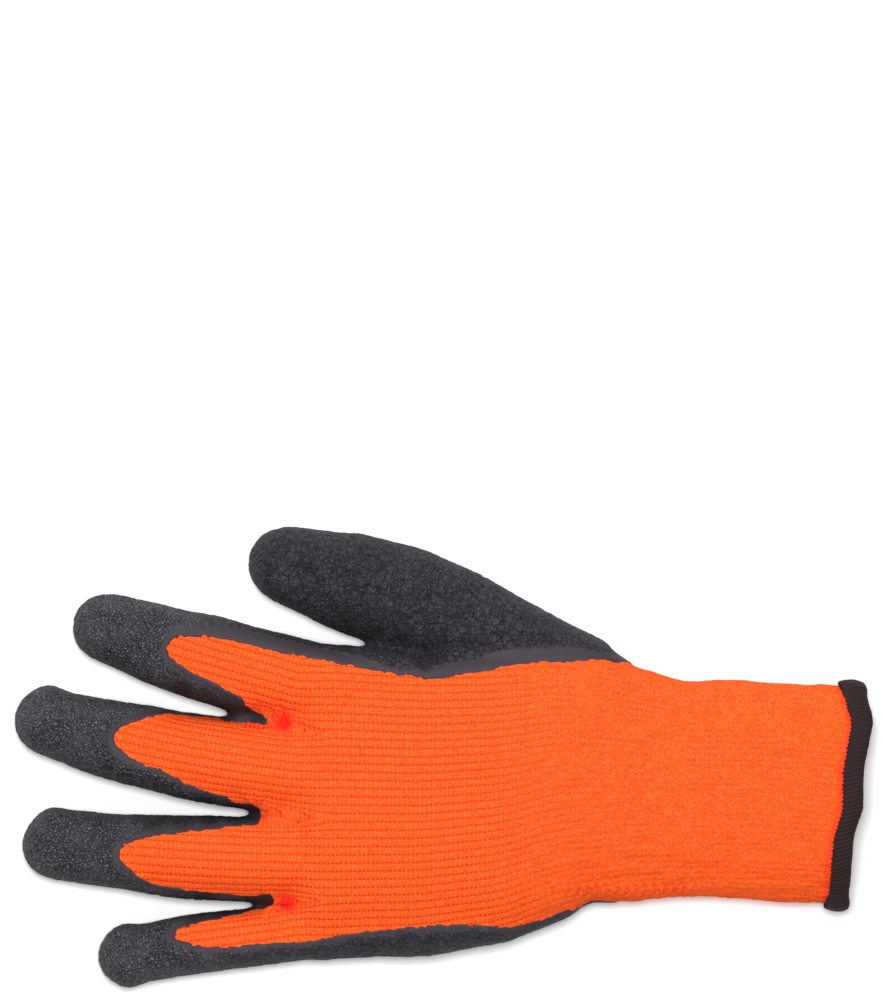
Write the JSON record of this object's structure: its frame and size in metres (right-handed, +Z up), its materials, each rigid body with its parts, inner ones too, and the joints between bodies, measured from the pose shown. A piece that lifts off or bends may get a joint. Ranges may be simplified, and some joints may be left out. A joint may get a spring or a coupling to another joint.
{
  "type": "latex coated grip glove",
  "caption": "Left-hand work glove lying palm down: orange knitted back and ribbed cuff, dark hem, crinkled latex over the palm side, thumb and fingertips.",
  "frame": {"origin": "middle of the glove's box, on the surface that it lies on", "axes": "+X from the fingertips to the cuff, +Y to the thumb side, +Z up through the back of the hand"},
  "size_m": [0.2594, 0.1386, 0.0322],
  "materials": {
    "knit": "fluorescent orange knit, matt",
    "hem": "dark overlocked thread, satin",
    "coating": "crinkled latex, semi-matt"
  },
  "bodies": {
    "root": {"palm_knit": "knit", "wrist_knit": "knit", "index_finger_knit": "knit", "middle_finger_knit": "knit", "ring_finger_knit": "knit", "little_finger_knit": "knit", "thumb_knit": "knit", "cuff_knit": "knit", "cuff_hem": "hem", "palm_coating": "coating", "index_finger_coating": "coating", "middle_finger_coating": "coating", "ring_finger_coating": "coating", "little_finger_coating": "coating", "thumb_coating": "coating"}
  },
  "joints": []
}
